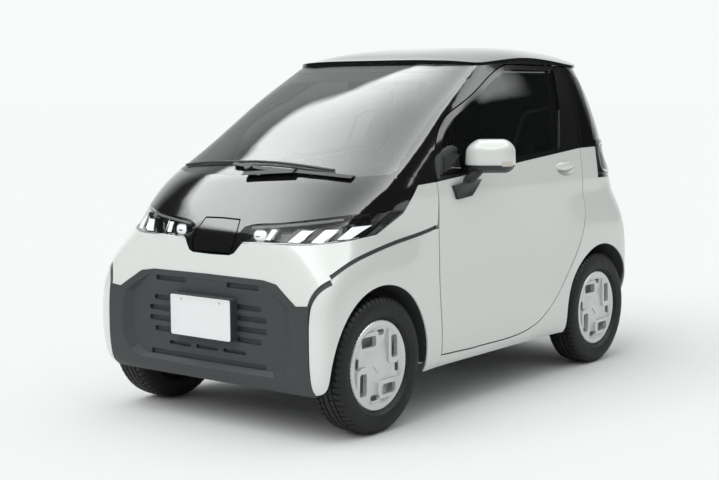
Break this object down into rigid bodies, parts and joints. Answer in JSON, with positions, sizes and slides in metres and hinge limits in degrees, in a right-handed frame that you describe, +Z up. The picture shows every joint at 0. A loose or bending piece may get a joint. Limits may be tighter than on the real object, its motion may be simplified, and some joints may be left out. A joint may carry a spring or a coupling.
{
  "type": "two-door city microcar",
  "caption": "Small rounded electric city car with two large doors, black bonnet and roof, and a charge lid in its nose; it rolls, steers, and its doors, hatch and lid open.",
  "frame": {"origin": "on the ground, under the middle of the car's length and width", "axes": "+Z up, -Y towards the car's front, +X towards the car's left side"},
  "size_m": [1.5836, 2.49, 1.55],
  "materials": {
    "white_paint": "gloss",
    "black_paint": "gloss",
    "dark_plastic": "matte",
    "trim_plastic": "matte",
    "grip_plastic": "satin",
    "lamp_glass": "gloss",
    "clear_glass": "gloss",
    "dark_glass": "gloss",
    "tail_lens": "gloss",
    "tyre": "matte",
    "wheel_silver": "satin",
    "hoop_plastic": "satin",
    "iron": "matte",
    "steel": "satin",
    "aluminium": "satin",
    "seat_fabric": "matte"
  },
  "bodies": {
    "body": {"nose_panel": "white_paint", "front_flares": "white_paint", "bonnet": "black_paint", "headlamps": "lamp_glass", "front_grille": "dark_plastic", "windscreen": "clear_glass", "roof": "black_paint", "cab_frame": "black_paint", "quarter_windows": "dark_glass", "tail_panel": "white_paint", "rear_bumper": "dark_plastic", "tail_lamps": "tail_lens", "quarter_panels": "white_paint", "lamp_housings": "trim_plastic", "charge_inlet": "dark_plastic", "wiper": "grip_plastic", "screen_trim": "trim_plastic", "belt_hoops": "hoop_plastic", "interior_mirror": "grip_plastic", "front_subframe": "steel", "rear_axle": "steel", "wheel_liners": "dark_plastic", "floor_pan": "dark_plastic", "battery_pack": "aluminium", "seat_cushions": "seat_fabric", "seat_backs": "seat_fabric", "seat_frames": "dark_plastic", "dashboard": "trim_plastic"},
    "door_left": {"door_left": "white_paint", "door_frame_left": "black_paint", "door_glass_left": "clear_glass", "mirror_left": "white_paint"},
    "door_right": {"door_right": "white_paint", "door_frame_right": "black_paint", "door_glass_right": "clear_glass", "mirror_right": "white_paint"},
    "hatch": {"hatch": "black_paint"},
    "charge_lid": {"charge_lid": "black_paint"},
    "steering_wheel": {"steering_wheel": "grip_plastic"},
    "knuckle_left": {"knuckle_left": "iron"},
    "knuckle_right": {"knuckle_right": "iron"},
    "wheel_front_left": {"tyre_front_left": "tyre", "wheel_front_left": "wheel_silver"},
    "wheel_front_right": {"tyre_front_right": "tyre", "wheel_front_right": "wheel_silver"},
    "wheel_rear_left": {"tyre_rear_left": "tyre", "wheel_rear_left": "wheel_silver"},
    "wheel_rear_right": {"tyre_rear_right": "tyre", "wheel_rear_right": "wheel_silver"}
  },
  "joints": [
    {"name": "steer_left", "type": "hinge", "parent": "body", "child": "knuckle_left", "pos_m": [0.505, -0.875, 0.19], "axis": [-0.1805, 0, 0.9836], "range_deg": [-35, 35]},
    {"name": "front_left_roll", "type": "hinge", "parent": "knuckle_left", "child": "wheel_front_left", "pos_m": [0.5525, -0.875, 0.2735], "axis": [1, 0, 0], "continuous": true},
    {"name": "rear_left_roll", "type": "hinge", "parent": "body", "child": "wheel_rear_left", "pos_m": [0.5525, 0.905, 0.2735], "axis": [1, 0, 0], "continuous": true},
    {"name": "door_left_hinge", "type": "hinge", "parent": "body", "child": "door_left", "pos_m": [0.603, -0.405, 0.6], "axis": [0, 0, -1], "range_deg": [0, 65]},
    {"name": "steer_right", "type": "hinge", "parent": "body", "child": "knuckle_right", "pos_m": [-0.505, -0.875, 0.19], "axis": [0.1805, 0, 0.9836], "range_deg": [-35, 35]},
    {"name": "front_right_roll", "type": "hinge", "parent": "knuckle_right", "child": "wheel_front_right", "pos_m": [-0.5525, -0.875, 0.2735], "axis": [1, 0, 0], "continuous": true},
    {"name": "rear_right_roll", "type": "hinge", "parent": "body", "child": "wheel_rear_right", "pos_m": [-0.5525, 0.905, 0.2735], "axis": [1, 0, 0], "continuous": true},
    {"name": "door_right_hinge", "type": "hinge", "parent": "body", "child": "door_right", "pos_m": [-0.603, -0.405, 0.6], "axis": [0, 0, 1], "range_deg": [0, 65]},
    {"name": "hatch_hinge", "type": "hinge", "parent": "body", "child": "hatch", "pos_m": [0, 0.995, 1.4375], "axis": [1, 0, 0], "range_deg": [0, 80]},
    {"name": "charge_lid_hinge", "type": "hinge", "parent": "body", "child": "charge_lid", "pos_m": [0, -1.1035, 0.8385], "axis": [-1, 0, 0], "range_deg": [0, 80]},
    {"name": "steering", "type": "hinge", "parent": "body", "child": "steering_wheel", "pos_m": [-0.252, -0.262, 0.905], "axis": [0, 0.8829, 0.4695], "range_deg": [-540, 540]}
  ],
  "couplings": [
    {"joint": "steer_right", "follows": "steer_left", "ratio": 1},
    {"joint": "steering", "follows": "steer_left", "ratio": 15}
  ]
}
